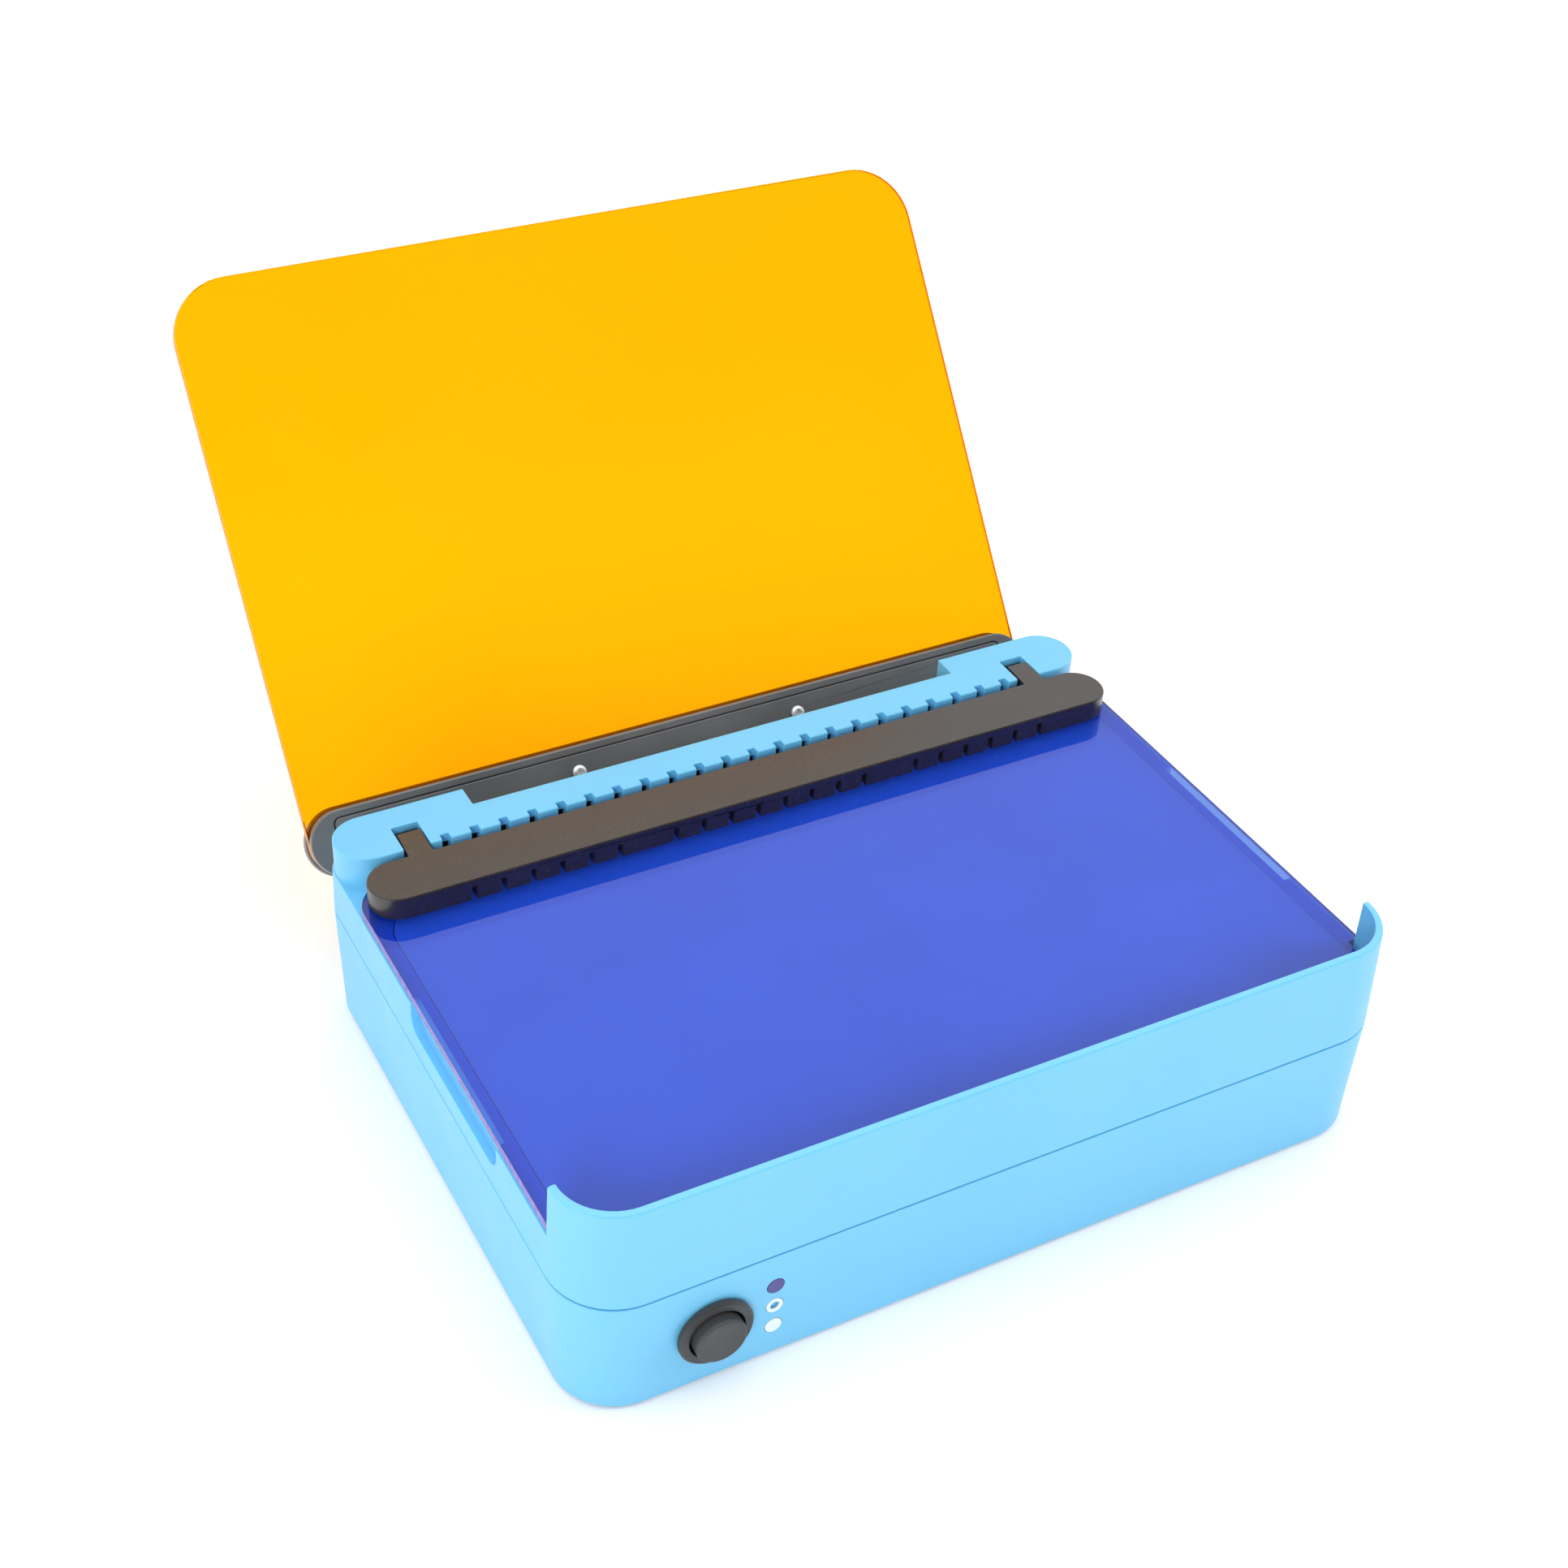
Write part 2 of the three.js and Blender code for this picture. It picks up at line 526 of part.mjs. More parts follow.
function filterPlate() {
  const side = prism(
    outline(PLATE.halfWidth, FENCE_END + 0.5, PLATE.rear, 1, PLATE.rearRadius), PLATE_Z, PLATE_TOP);
  const inset = FENCE_INSET + PLATE.noseGap;
  const nose = prism(
    outline(HALF_W - inset, FRONT + inset, FENCE_END + 5, FRONT_RADIUS - inset, 1), PLATE_Z, PLATE_TOP);
  return side.add(nose);
}

function ventBar() {
  const { halfWidth, front, rear, top, wall, frontWall, roof } = BAR;
  const form = softPrism(stadium(halfWidth, front, rear), BAR_Z, top, 0.4, 1);
  const channel = prism(stadium(halfWidth - wall, front + frontWall, rear - wall), BAR_Z - 1, top - roof);
  const tabs = [-1, 1].map((side) => boxOnSide(
    side, TAB.centre - TAB.width / 2, TAB.centre + TAB.width / 2, rear - 2, TAB.rear, top - TAB.thick, top));
  const rearPort = box(
    -BAR_PORT_HALF_W, BAR_PORT_HALF_W, rear - wall - 1, rear + 1, BAR_Z - 1, top - roof - 0.5);
  const half = BAR_SLOT.width / 2;
  const slots = Array.from({ length: VENTS.count }, (_, index) => index)
    .filter((index) => !BAR_BLANKS.includes(index))
    .map((index) => {
      const x = VENTS.first + index * VENT_PITCH;
      return box(x - half, x + half, front - 1, front + frontWall + 1, 0, BAR_SLOT.top);
    });
  return cut(joined([form, ...tabs]), [channel, rearPort, ...slots]);
}

// ---- Lid, drawn shut ---------------------------------------------------------------------

const lidBores = (z0, z1) =>
  LID_SCREWS_X.map((x) => rodZ(x, LID_SCREW_Y, SCREW.bore, z0, z1, 16));

function lidSheet() {
  const sheet = softPrism(
    outline(SHEET.halfWidth, FRONT + 0.1, SHEET.rear, FRONT_RADIUS, SHEET.rearRadius),
    SHEET_Z, SHEET_Z + SHEET.thick, 0.3, 1);
  return cut(sheet, lidBores(0, BIG));
}

function leafOutline(slack) {
  const { halfWidth, front, rear, radius } = LEAF;
  return outline(halfWidth - slack, front + slack, rear - slack, radius - slack, radius - slack);
}

function lidClampInner() {
  const top = SHEET_Z - GAP;
  const bottom = top - CLAMP.thick;
  const strip = softPrism(stadium(CLAMP.halfWidth, CLAMP.front, CLAMP.rear), bottom, top, 0.6);
  const seat = prism(leafOutline(0), bottom - 1, bottom + LEAF.thick + 0.2, 4);
  return cut(strip, [seat, ...lidBores(0, BIG)]);
}

function lidClampOuter() {
  const bottom = SHEET_Z + SHEET.thick + GAP;
  const { halfWidth, front, rear, thick } = OUTER_CLAMP;
  const strip = softPrism(stadium(halfWidth, front, rear), bottom, bottom + thick, 0.8);
  return cut(strip, lidBores(0, bottom + thick - 1.2));
}

function lidHingeLeaf() {
  const face = SHEET_Z - GAP - CLAMP.thick;
  const slack = 0.45;
  const pad = prism(leafOutline(slack), face, face + LEAF.thick - 0.1, 4);
  const half = 2;
  const cove = 3.2;
  const steps = 5;
  const profile = [[HINGE.y + half, HINGE.z], [HINGE.y + half, face + 1], [HINGE.y - half - cove, face + 1]];
  for (let i = 0; i <= steps; i += 1) {
    const angle = (Math.PI / 2) * (1 - i / steps);
    profile.push([
      HINGE.y - half - cove + cove * Math.cos(angle),
      face - cove + cove * Math.sin(angle),
    ]);
  }
  profile.push([HINGE.y - half, HINGE.z]);
  const web = alongX(profile.reverse(), -LEAF_HALF_W, LEAF_HALF_W);
  const barrel = rodX(HINGE.y, HINGE.z, HINGE.barrel, -LEAF_HALF_W, LEAF_HALF_W);
  const pinBores = [-1, 1].map((side) => boreOnSide(side, HINGE.bore, LEAF_HALF_W - 10, LEAF_HALF_W + 1));
  return cut(joined([pad, web, barrel]), [...pinBores, ...lidBores(0, BIG)]);
}

function lidScrew(x) {
  const face = SHEET_Z - GAP - CLAMP.thick;
  const profile = [[0, -1.5], [1.5, -1.4], [2.4, -1], [2.6, -GAP], [0, -GAP]];
  const geometry = new THREE.LatheGeometry(profile.map((point) => new THREE.Vector2(...point)), 24);
  geometry.rotateX(Math.PI / 2);
  geometry.translate(x, LID_SCREW_Y, face);
  const cross = [
    box(x - 1.3, x + 1.3, LID_SCREW_Y - 0.3, LID_SCREW_Y + 0.3, face - 2, face - 0.7),
    box(x - 0.3, x + 0.3, LID_SCREW_Y - 1.3, LID_SCREW_Y + 1.3, face - 2, face - 0.7),
  ];
  const shank = rodZ(x, LID_SCREW_Y, SCREW.shank, face - 0.6, SHEET_Z + SHEET.thick + 2.6, 12);
  return cut(solidOf(geometry).add(shank), cross);
}

function hingePin(side) {
  return boreOnSide(side, HINGE.pin, LEAF_HALF_W - 9, CUTOUT.halfWidth + 8);
}

function hingeWasher(side) {
  const near = LEAF_HALF_W + 0.4;
  const far = CUTOUT.halfWidth - 0.4;
  return boreOnSide(side, 3.8, near, far, 24).subtract(boreOnSide(side, HINGE.bore, near - 1, far + 1));
}

// ---- Assembly ----------------------------------------------------------------------------

const gelLightBox = new THREE.Group();
const addPart = (name, solid, material) => gelLightBox.add(meshOf(name, solid, material));

addPart('lower_housing', lowerHousing(), shellBlue);
addPart('upper_housing', upperHousing(), shellBlue);
addPart('filter_plate', filterPlate(), filterBlue);
addPart('vent_bar', ventBar(), satinBlack);
addPart('vent_dust_strip', dustStrip(), foamBlack);

addPart('diffuser_sheet', diffuserSheet(), opalWhite);
addPart('light_box_frame', lightBox(), opalWhite);
addPart('led_board', ledBoard(), boardWhite);
addPart('heat_spreader', heatSpreader(), aluminium);
LED_ROWS.forEach(([colour, y], index) => {
  addPart(`led_row_${colour}_${index + 1}`, ledRow(y), colour === 'blue' ? ledBlue : ledWhite);
});
STRUTS.forEach((place, index) => addPart(`board_screw_${index + 1}`, boardScrew(place), steel));
addPart('driver_board', driverBoard(), boardGreen);
addPart('driver_coil', driverCoil(), switchBlack);
addPart('driver_capacitor', driverCapacitor(), aluminium);

addPart('switch_body', switchBody(), switchBlack);
addPart('switch_rocker', switchRocker(), switchBlack);
[0, 1, 2].forEach((index) => addPart(`switch_terminal_${index + 1}`, switchTerminal(index), brass));
addPart('mark_blue_light', mark(MARKS.zOn, false), markPurple);
addPart('mark_off', mark(MARKS.zOff, true), markWhite);
addPart('mark_white_light', mark(MARKS.zWhite, false), markWhite);
addPart('power_jack', powerJack(), switchBlack);
addPart('power_jack_nut', powerJackNut(), steel);

addPart('wire_jack_to_driver', wire([
  [JACK.x, 84.5, JACK.z], [JACK.x - 3, 80, 20], [72, 78, 16], [DRIVER.x + DRIVER.halfWidth + 1, 76, 12],
]), wireRed);
addPart('wire_driver_to_switch', wire([
  [DRIVER.x - DRIVER.halfWidth - 1, 76, 11], [-60, 75, 9], [-112, 66, 7], [-123, 40, 7], [-123, -50, 7],
  [-119, -70.6, 9], [-106, -71, 14], [-96.5, -71.2, SWITCH.z],
]), wireRed);
addPart('wire_driver_to_leds', wire([
  [DRIVER.x + 4, DRIVER.y - DRIVER.halfDepth - 1, 12], [DRIVER.x + 4, 61, 14], [DRIVER.x + 4, 59.5, 17],
]), wireRed);

FEET.forEach((place, index) => addPart(`foot_${index + 1}`, foot(place), rubber));
POSTS.forEach((place, index) => addPart(`housing_screw_${index + 1}`, housingScrew(place), steel));

// The lid turns about the hinge line, so its group sits there and its parts are moved back by it.
const lid = new THREE.Group();
lid.position.set(0, HINGE.y, HINGE.z);
lid.rotation.x = THREE.MathUtils.degToRad(-OPEN_DEGREES);
gelLightBox.add(lid);

function addLidPart(name, solid, material) {
  const mesh = meshOf(name, solid, material);
  mesh.position.set(0, -HINGE.y, -HINGE.z);
  lid.add(mesh);
}

addLidPart('lid_sheet', lidSheet(), amber);
addLidPart('lid_clamp_inner', lidClampInner(), satinBlack);
addLidPart('lid_clamp_outer', lidClampOuter(), satinBlack);
addLidPart('lid_hinge_leaf', lidHingeLeaf(), satinBlack);
LID_SCREWS_X.forEach((x, index) => addLidPart(`lid_screw_${index + 1}`, lidScrew(x), steel));

[['left', -1], ['right', 1]].forEach(([label, side]) => {
  addPart(`hinge_pin_${label}`, hingePin(side), steel);
  addPart(`hinge_washer_${label}`, hingeWasher(side), opalWhite);
});

export default gelLightBox;
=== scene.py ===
import json
import math

import bmesh
import bpy
from mathutils import Matrix, Vector


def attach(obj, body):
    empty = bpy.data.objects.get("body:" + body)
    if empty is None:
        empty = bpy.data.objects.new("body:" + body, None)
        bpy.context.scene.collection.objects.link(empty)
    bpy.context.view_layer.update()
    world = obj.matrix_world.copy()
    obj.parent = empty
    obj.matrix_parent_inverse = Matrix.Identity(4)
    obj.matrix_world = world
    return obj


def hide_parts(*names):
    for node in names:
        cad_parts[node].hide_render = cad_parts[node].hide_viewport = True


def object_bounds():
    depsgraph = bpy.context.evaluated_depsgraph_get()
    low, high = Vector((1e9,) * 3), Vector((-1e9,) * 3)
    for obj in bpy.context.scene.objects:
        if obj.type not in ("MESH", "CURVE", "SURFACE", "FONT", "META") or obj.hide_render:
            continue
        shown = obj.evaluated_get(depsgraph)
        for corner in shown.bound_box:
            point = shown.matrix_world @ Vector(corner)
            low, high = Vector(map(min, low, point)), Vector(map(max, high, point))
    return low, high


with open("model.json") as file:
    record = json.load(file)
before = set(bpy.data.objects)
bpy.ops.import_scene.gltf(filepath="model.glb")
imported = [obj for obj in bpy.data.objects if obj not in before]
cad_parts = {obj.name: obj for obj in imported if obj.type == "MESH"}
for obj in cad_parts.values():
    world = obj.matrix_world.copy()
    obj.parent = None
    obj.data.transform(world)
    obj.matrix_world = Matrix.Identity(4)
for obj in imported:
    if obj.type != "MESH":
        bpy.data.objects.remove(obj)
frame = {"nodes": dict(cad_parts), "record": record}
cad_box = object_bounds()

nodes = frame["nodes"]
bodies = frame["record"]["behaviour"]["bodies"]
body_of = {node: body for body, members in bodies.items() for node in members}
slot_of = {row["node"]: row["material_slot"] for row in frame["record"]["subparts"]}
MM = 0.001


# ---- Camera and light --------------------------------------------------------------------

CAMERA_PLACE = (-0.2964, -0.4732, 0.5253)
CAMERA_YAW, CAMERA_PITCH, CAMERA_ROLL = (math.radians(angle) for angle in (-29.7, -36.8, 2.9))
SENSOR_WIDTH, LENS = 36, 53.69  # millimetres

WORLD_BRIGHT, WORLD_DARK = 1.02, 0.04
DARK_BELOW_Y, BRIGHT_ABOVE_Y = -0.62, -0.2  # a direction's Y, from the front to the rear
FLOOR_REACH = 12
FLOOR_GREY = 0.97

# A noise texture mostly stays between these two values.
NOISE_LOW, NOISE_HIGH = 0.35, 0.65


def make_camera():
    """A long lens from the front left, above the object."""
    data = bpy.data.cameras.new("camera")
    data.sensor_width = SENSOR_WIDTH
    data.lens = LENS
    data.clip_start, data.clip_end = 0.01, 20  # metres
    camera = bpy.data.objects.new("camera", data)
    turn = (Matrix.Rotation(CAMERA_YAW, 4, "Z") @ Matrix.Rotation(math.pi / 2 + CAMERA_PITCH, 4, "X")
            @ Matrix.Rotation(CAMERA_ROLL, 4, "Z"))
    camera.matrix_world = Matrix.Translation(CAMERA_PLACE) @ turn
    bpy.context.scene.collection.objects.link(camera)
    bpy.context.scene.camera = camera


def soft_box(name, place, target, size, power, seen_in_gloss):
    """A rectangular lamp of a size in metres and a power in watts, turned to its target."""
    data = bpy.data.lights.new(name, "AREA")
    data.shape = "RECTANGLE"
    data.size, data.size_y = size
    data.energy = power
    light = bpy.data.objects.new(name, data)
    light.location = place
    light.rotation_euler = (Vector(target) - Vector(place)).to_track_quat("-Z", "Y").to_euler()
    light.visible_glossy = seen_in_gloss
    bpy.context.scene.collection.objects.link(light)


def make_world():
    """A white studio that is unlit at the front. Looked at directly, it is white all round."""
    world = bpy.data.worlds.new("studio")
    world.use_nodes = True
    tree = world.node_tree
    background = tree.nodes["Background"]
    background.inputs["Color"].default_value = (1, 1, 1, 1)
    direction = tree.nodes.new("ShaderNodeTexCoord")
    axes = tree.nodes.new("ShaderNodeSeparateXYZ")
    fade = tree.nodes.new("ShaderNodeMapRange")
    fade.interpolation_type = "SMOOTHSTEP"
    for label, value in (("From Min", DARK_BELOW_Y), ("From Max", BRIGHT_ABOVE_Y),
                         ("To Min", WORLD_DARK), ("To Max", WORLD_BRIGHT)):
        fade.inputs[label].default_value = value
    tree.links.new(direction.outputs["Generated"], axes.inputs["Vector"])
    tree.links.new(axes.outputs["Y"], fade.inputs["Value"])
    ray = tree.nodes.new("ShaderNodeLightPath")
    backdrop = tree.nodes.new("ShaderNodeMix")
    backdrop.inputs["B"].default_value = WORLD_BRIGHT
    tree.links.new(ray.outputs["Is Camera Ray"], backdrop.inputs["Factor"])
    tree.links.new(fade.outputs["Result"], backdrop.inputs["A"])
    tree.links.new(backdrop.outputs["Result"], background.inputs["Strength"])
    bpy.context.scene.world = world


def make_floor(height):
    """A wide pale floor, as high as the soles of the feet."""
    bm = bmesh.new()
    near, far = -FLOOR_REACH, FLOOR_REACH
    corners = ((near, near), (far, near), (far, far), (near, far))
    bm.faces.new([bm.verts.new((x, y, height)) for x, y in corners])
    mesh = bpy.data.meshes.new("floor")
    bm.to_mesh(mesh)
    bm.free()
    floor = bpy.data.objects.new("floor", mesh)
    bpy.context.scene.collection.objects.link(floor)
    paper = bpy.data.materials.new("paper")
    paper.use_nodes = True
    shader = paper.node_tree.nodes["Principled BSDF"]
    shader.inputs["Base Color"].default_value = (FLOOR_GREY, FLOOR_GREY, FLOOR_GREY, 1)
    shader.inputs["Roughness"].default_value = 0.9
    shader.inputs["Specular IOR Level"].default_value = 0.1
    mesh.materials.append(paper)


# ---- Materials ---------------------------------------------------------------------------

class Finish:
    """A Principled material that gets its detail from noise in object space."""

    def __init__(self, name, **sockets):
        self.material = bpy.data.materials.new(name)
        self.material.use_nodes = True
        self.tree = self.material.node_tree
        self.shader = self.tree.nodes["Principled BSDF"]
        self.place = self.tree.nodes.new("ShaderNodeTexCoord").outputs["Object"]
        for label, value in sockets.items():
            self.shader.inputs[label.replace("_", " ")].default_value = value

    def noise(self, scale, detail, stretch=None):
        """Noise in object space. stretch multiplies its scale along X, Y and Z."""
        node = self.tree.nodes.new("ShaderNodeTexNoise")
        node.inputs["Scale"].default_value = scale
        node.inputs["Detail"].default_value = detail
        source = self.place
        if stretch:
            mapping = self.tree.nodes.new("ShaderNodeMapping")
            mapping.inputs["Scale"].default_value = stretch
            self.tree.links.new(source, mapping.inputs["Vector"])
            source = mapping.outputs["Vector"]
        self.tree.links.new(source, node.inputs["Vector"])
        return node.outputs["Fac"]

    def spread(self, value, low, high):
        """Stretches noise over the range from low to high."""
        node = self.tree.nodes.new("ShaderNodeMapRange")
        node.inputs["From Min"].default_value = NOISE_LOW
        node.inputs["From Max"].default_value = NOISE_HIGH
        node.inputs["To Min"].default_value = low
        node.inputs["To Max"].default_value = high
        self.tree.links.new(value, node.inputs["Value"])
        return node.outputs["Result"]

    def colour(self, value, dark, light):
        node = self.tree.nodes.new("ShaderNodeMix")
        node.data_type = "RGBA"
        node.inputs["A"].default_value = (*dark, 1)
        node.inputs["B"].default_value = (*light, 1)
        self.tree.links.new(self.spread(value, 0, 1), node.inputs["Factor"])
        self.tree.links.new(node.outputs["Result"], self.shader.inputs["Base Color"])

    def roughness(self, value, low, high):
        self.tree.links.new(self.spread(value, low, high), self.shader.inputs["Roughness"])

    def bump(self, value, depth):
        """Relief of a depth in metres."""
        node = self.tree.nodes.new("ShaderNodeBump")
        node.inputs["Distance"].default_value = depth
        node.inputs["Strength"].default_value = 1.0
        self.tree.links.new(value, node.inputs["Height"])
        self.tree.links.new(node.outputs["Normal"], self.shader.inputs["Normal"])


def moulded(name, dark, light, rough, cloud, grain, depth, **sockets):
    """Moulded plastic: slow colour drift, patchy sheen and a fine spark-eroded grain.

    Further names set sockets of the Principled shader.
    """
    finish = Finish(name, **sockets)
    finish.colour(finish.noise(cloud, 3), dark, light)
    finish.roughness(finish.noise(cloud * 4, 2), *rough)
    finish.bump(finish.noise(grain, 2), depth)
    return finish.material


def clear_sheet(name, dark, light, rough, wave, depth, ior):
    """Cast acrylic: polished, tinted through, with a slow waviness. Lamps shine through it.

    Light crosses two faces of the sheet, so each face lets through the root of the tint.
    """
    finish = Finish(name, Transmission_Weight=1.0, IOR=ior)
    finish.colour(finish.noise(9, 2), dark, light)
    finish.roughness(finish.noise(60, 3), *rough)
    finish.bump(finish.noise(wave, 1), depth)
    tree = finish.tree
    through = tree.nodes.new("ShaderNodeBsdfTransparent")
    through.inputs["Color"].default_value = (*(math.sqrt(value) for value in light), 1)
    kind = tree.nodes.new("ShaderNodeLightPath")
    mix = tree.nodes.new("ShaderNodeMixShader")
    tree.links.new(kind.outputs["Is Shadow Ray"], mix.inputs["Fac"])
    tree.links.new(finish.shader.outputs["BSDF"], mix.inputs[1])
    tree.links.new(through.outputs["BSDF"], mix.inputs[2])
    tree.links.new(mix.outputs["Shader"], tree.nodes["Material Output"].inputs["Surface"])
    return finish.material


def metal(name, dark, light, rough, stretch, depth):
    """Bare or plated metal. Unequal numbers in stretch draw its grain out one way."""
    finish = Finish(name, Metallic=1.0)
    finish.colour(finish.noise(300, 3, stretch), dark, light)
    finish.roughness(finish.noise(500, 2, stretch), *rough)
    finish.bump(finish.noise(1500, 2, stretch), depth)
    return finish.material


# One finish for each material slot, and a few more for pieces that look unlike their slot.
FINISHES = {
    "shell_blue": moulded("shell_blue", (0.148, 0.518, 0.81), (0.162, 0.536, 0.828),
                          rough=(0.36, 0.44), cloud=14, grain=3200, depth=0.000008,
                          Subsurface_Weight=0.3, Subsurface_Radius=(0.15, 0.7, 1.0),
                          Subsurface_Scale=0.003, Specular_IOR_Level=0.75),
    "filter_blue": clear_sheet("filter_blue", (0.11, 0.24, 0.72), (0.12, 0.25, 0.735),
                               rough=(0.015, 0.03), wave=12, depth=0.000002, ior=1.585),
    "amber_acrylic": clear_sheet("amber_acrylic", (1.0, 0.475, 0.0), (1.0, 0.487, 0.001),
                                 rough=(0.02, 0.035), wave=12, depth=0.000004, ior=1.49),
    "sawn_blue": moulded("sawn_blue", (0.20, 0.17, 0.44), (0.30, 0.26, 0.56),
                         rough=(0.5, 0.7), cloud=500, grain=2500, depth=0.00005),
    "sawn_amber": moulded("sawn_amber", (0.75, 0.20, 0.01), (0.95, 0.36, 0.04),
                          rough=(0.4, 0.6), cloud=500, grain=2500, depth=0.00004),
    # satin_black carries a faint warm tint: a painted reflection of the amber lid on black plastic.
    "satin_black": moulded("satin_black", (0.017, 0.011, 0.009), (0.020, 0.014, 0.012),
                           rough=(0.24, 0.28), cloud=60, grain=2600, depth=0.0000005,
                           Specular_IOR_Level=1.0),
    # The clamps' black plastic is painted mid grey with a mottle: painted sheen and painted
    # reflections.
    "clamp_black_painted_sheen": moulded("clamp_black_painted_sheen", (0.10, 0.10, 0.104), (0.125, 0.125, 0.13),
                           rough=(0.28, 0.36), cloud=25, grain=2200, depth=0.000002,
                           Specular_IOR_Level=1.0),
    # foam_black is the near-black strip behind the vent grooves: painted shade, a dark sheet standing
    # in for the shade inside the vents.
    "foam_black": moulded("foam_black", (0.004, 0.004, 0.004), (0.012, 0.012, 0.012),
                          rough=(0.9, 1.0), cloud=400, grain=900, depth=0.0004),
    "switch_black": moulded("switch_black", (0.036, 0.036, 0.038), (0.048, 0.048, 0.05),
                            rough=(0.40, 0.50), cloud=60, grain=2200, depth=0.00003),
    "opal_white": moulded("opal_white", (0.84, 0.85, 0.86), (0.9, 0.905, 0.91),
                          rough=(0.45, 0.6), cloud=20, grain=1500, depth=0.00001),
    "board_white": moulded("board_white", (0.78, 0.79, 0.75), (0.84, 0.85, 0.81),
                           rough=(0.35, 0.5), cloud=30, grain=900, depth=0.00002),
    "board_green": moulded("board_green", (0.012, 0.09, 0.035), (0.022, 0.15, 0.06),
                           rough=(0.3, 0.42), cloud=90, grain=900, depth=0.00003),
    "led_blue": moulded("led_blue", (0.10, 0.16, 0.75), (0.30, 0.40, 0.92),
                        rough=(0.15, 0.25), cloud=60, grain=1200, depth=0.00001),
    "led_white": moulded("led_white", (0.80, 0.72, 0.35), (0.95, 0.90, 0.62),
                         rough=(0.15, 0.25), cloud=60, grain=1200, depth=0.00001),
    "mark_purple": moulded("mark_purple", (0.08, 0.066, 0.24), (0.088, 0.074, 0.26),
                           rough=(0.45, 0.55), cloud=300, grain=4000, depth=0.00001),
    "mark_white": moulded("mark_white", (0.74, 0.81, 0.86), (0.78, 0.84, 0.88),
                          rough=(0.45, 0.55), cloud=300, grain=4000, depth=0.00001),
    "wire_red": moulded("wire_red", (0.36, 0.022, 0.014), (0.44, 0.03, 0.02),
                        rough=(0.35, 0.5), cloud=120, grain=2500, depth=0.00002),
    "rubber": moulded("rubber", (0.016, 0.016, 0.017), (0.026, 0.026, 0.027),
                      rough=(0.7, 0.85), cloud=120, grain=1800, depth=0.00006),
    "steel": metal("steel", (0.62, 0.63, 0.65), (0.76, 0.77, 0.78),
                   rough=(0.16, 0.28), stretch=(1, 1, 1), depth=0.00001),
    "screw_plating": metal("screw_plating", (0.86, 0.86, 0.87), (0.94, 0.94, 0.95),
                           rough=(0.38, 0.5), stretch=(1, 1, 1), depth=0.00001),
    "brass": metal("brass", (0.62, 0.44, 0.17), (0.74, 0.56, 0.24),
                   rough=(0.25, 0.4), stretch=(1, 1, 6), depth=0.00001),
    "aluminium": metal("aluminium", (0.62, 0.63, 0.64), (0.74, 0.75, 0.76),
                       rough=(0.3, 0.45), stretch=(0.1, 6, 6), depth=0.00002),
}


# ---- Pieces ------------------------------------------------------------------------------

CLAMPS = ("lid_clamp_inner", "lid_clamp_outer", "lid_hinge_leaf")
SCREWS = tuple(node for node in nodes if node.startswith("lid_screw_"))

# The pieces whose edges are rounded over, and their edge radii in millimetres.
EDGE_RADII = {
    "lower_housing": 0.3, "upper_housing": 0.3, "vent_bar": 0.25, "filter_plate": 0.3,
    "lid_sheet": 0.2, "lid_clamp_inner": 0.3, "lid_clamp_outer": 0.3, "lid_hinge_leaf": 0.25,
    "switch_body": 0.25, "switch_rocker": 0.3, "power_jack": 0.2,
    **dict.fromkeys(SCREWS, 0.08),
}
OWN_FINISH = {**dict.fromkeys(CLAMPS, "clamp_black_painted_sheen"), **dict.fromkeys(SCREWS, "screw_plating")}
SAWN_FINISH = {"filter_plate": "sawn_blue", "lid_sheet": "sawn_amber"}
WHOLE_ABOVE = {"upper_housing": 68 * MM}  # the ridge's top is rounded over as one face

WELD = 0.02 * MM  # corners nearer than this are one corner
SLIVER = 0.03 * MM  # faces thinner than this go
FLAT = math.radians(1)  # faces that bend less than this are one face
SHARP = math.radians(50)  # edges that bend more than this are rounded over
PARTED = math.radians(20)  # shading doesn't run across edges that bend more than this


def wear(obj, finish):
    """Gives an object one finish in place of what it wears."""
    obj.data.materials.clear()
    obj.data.materials.append(FINISHES[finish])


def welded(node):
    """The CAD node's faces with their shared corners and flat areas put back together."""
    bm = bmesh.new()
    bm.from_mesh(nodes[node].data)
    bmesh.ops.remove_doubles(bm, verts=bm.verts, dist=WELD)
    bmesh.ops.dissolve_degenerate(bm, edges=bm.edges, dist=SLIVER)
    bmesh.ops.dissolve_limit(bm, angle_limit=FLAT, verts=bm.verts, edges=bm.edges,
                             use_dissolve_boundaries=False)
    limit = WHOLE_ABOVE.get(node, math.inf)
    many_sided = [face for face in bm.faces
                  if len(face.verts) > 4 and face.calc_center_median().z < limit]
    bmesh.ops.triangulate(bm, faces=many_sided, ngon_method="BEAUTY")
    bmesh.ops.dissolve_degenerate(bm, edges=bm.edges, dist=SLIVER)
    bmesh.ops.recalc_face_normals(bm, faces=bm.faces)
    return bm


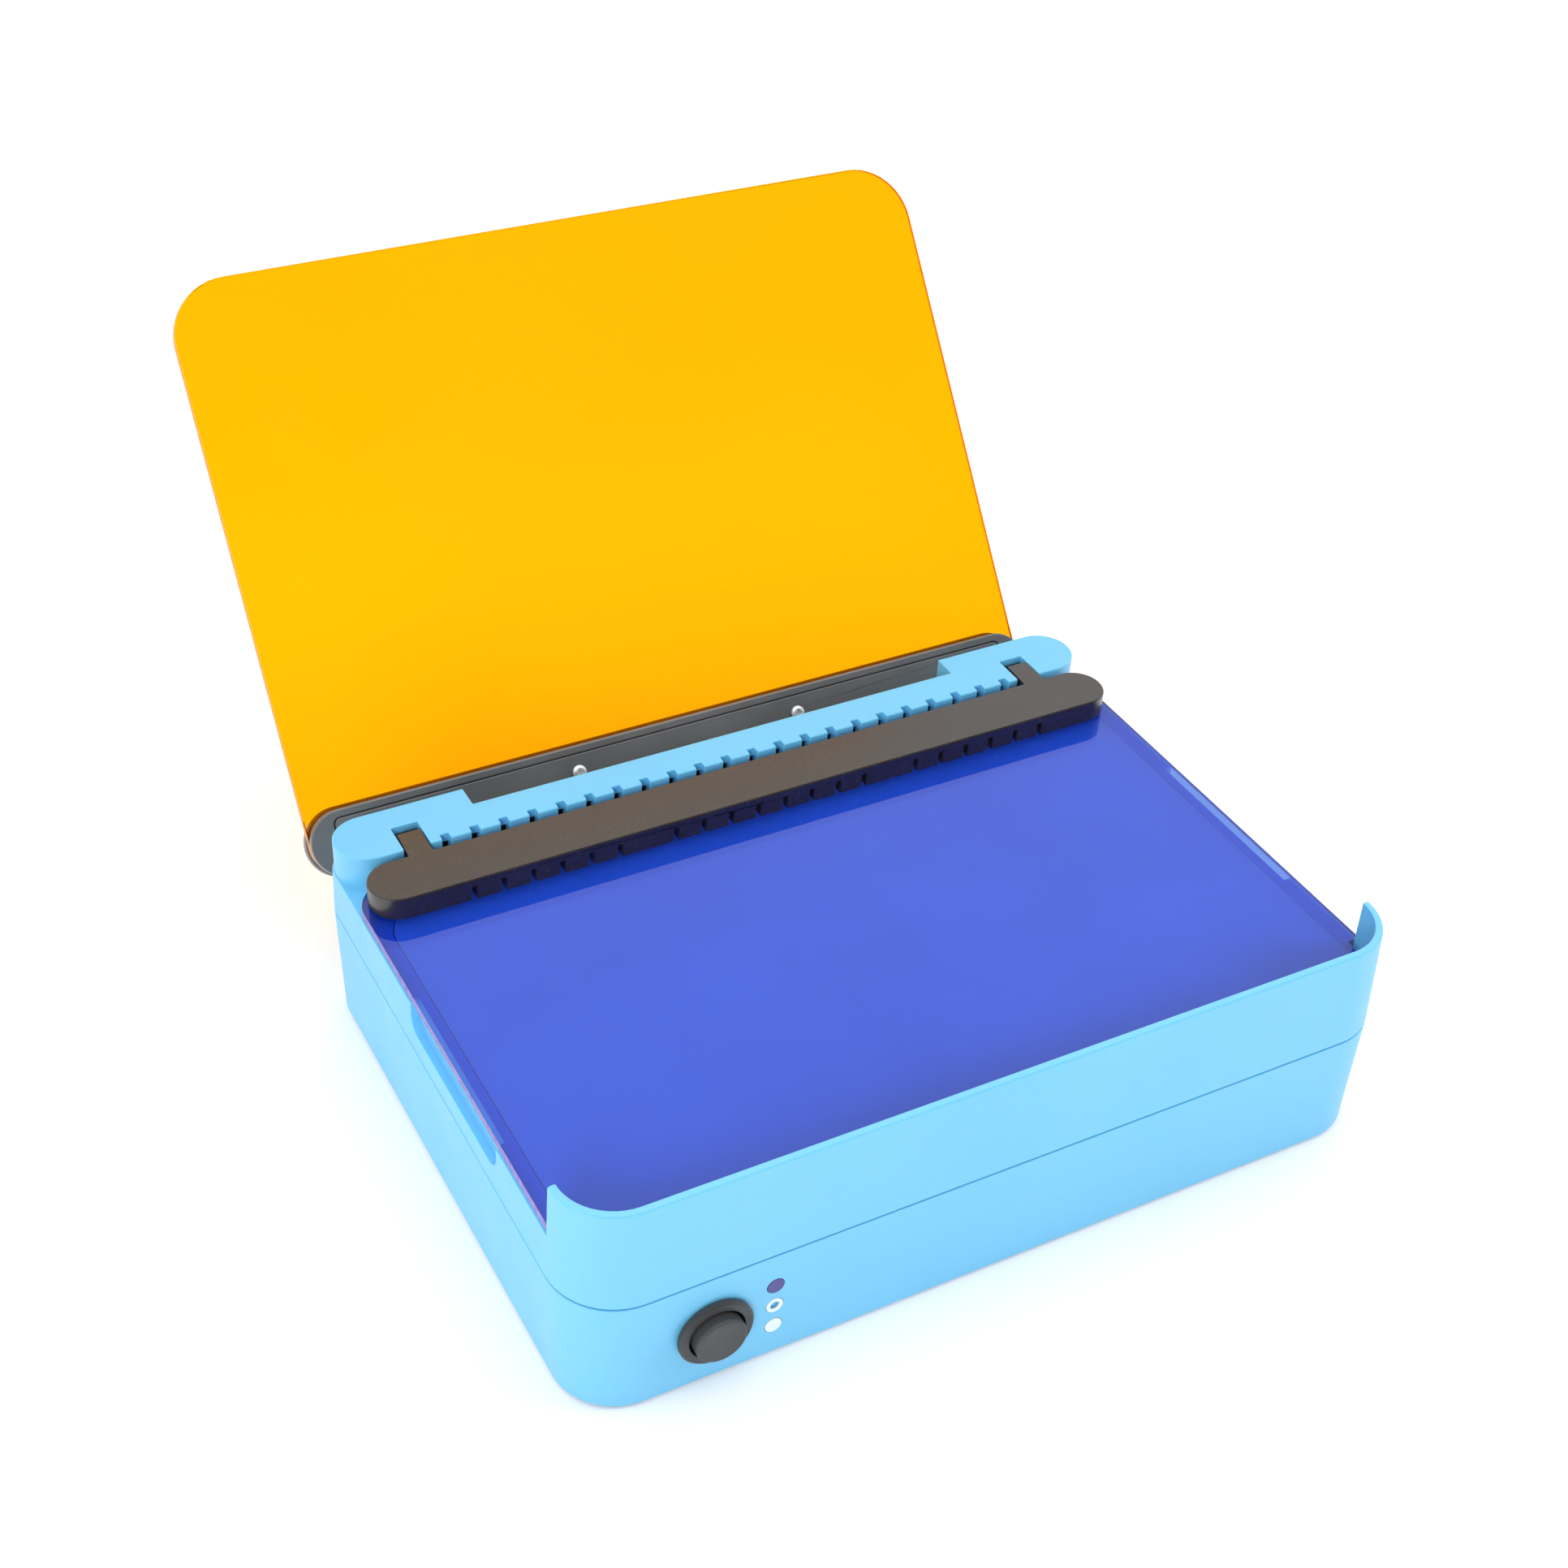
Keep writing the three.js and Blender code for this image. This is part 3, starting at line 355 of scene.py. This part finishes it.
def own_piece(node):
    """A new piece that stands for a CAD node and moves with it."""
    name = f"{node}_soft"
    mesh = bpy.data.meshes.new(name)
    bm = welded(node)
    bm.to_mesh(mesh)
    bm.free()
    for face in mesh.polygons:
        face.use_smooth = True
    piece = bpy.data.objects.new(name, mesh)
    bpy.context.scene.collection.objects.link(piece)
    wear(piece, OWN_FINISH.get(node, slot_of[node]))
    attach(piece, body_of[node])
    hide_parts(node)
    return piece


def saw_edges(piece, finish):
    """Gives the narrow faces round a flat sheet their own finish."""
    faces = piece.data.polygons
    across = max(faces, key=lambda face: face.area).normal.copy()
    piece.data.materials.append(FINISHES[finish])
    for face in faces:
        if abs(face.normal.dot(across)) < 0.5:  # more than 60 degrees from the flat
            face.material_index = 1


def round_over(piece, width):
    """Rounds a piece's sharp edges and keeps the shading of its flat faces even."""
    bevel = piece.modifiers.new("round_over", "BEVEL")
    bevel.width = width
    bevel.segments = 2
    bevel.limit_method = "ANGLE"
    bevel.angle_limit = SHARP
    bevel.miter_outer = "MITER_ARC"
    bevel.use_clamp_overlap = False
    split = piece.modifiers.new("part_at_the_rounding", "EDGE_SPLIT")
    split.split_angle = PARTED
    shading = piece.modifiers.new("flat_faces_stay_flat", "WEIGHTED_NORMAL")
    shading.mode = "FACE_AREA"
    shading.weight = 80
    shading.keep_sharp = True


# ---- Scene -------------------------------------------------------------------------------

make_camera()
make_world()
make_floor(cad_box[0].z)
soft_box("top", place=(0, 0.2, 3.0), target=(0, 0.2, 0), size=(4.0, 4.0), power=36, seen_in_gloss=True)
soft_box("front_left", place=(-1.2, -1.5, 1.0), target=(0, 0, 0.05), size=(0.9, 0.9), power=24,
         seen_in_gloss=False)
soft_box("right", place=(1.9, -0.9, 0.9), target=(0, 0, 0.05), size=(0.9, 0.9), power=16,
         seen_in_gloss=False)

for node, obj in nodes.items():
    wear(obj, slot_of[node])

for node, radius in EDGE_RADII.items():
    piece = own_piece(node)
    if node in SAWN_FINISH:
        saw_edges(piece, SAWN_FINISH[node])
    round_over(piece, radius * MM)

bpy.context.scene.view_settings.view_transform = "Standard"
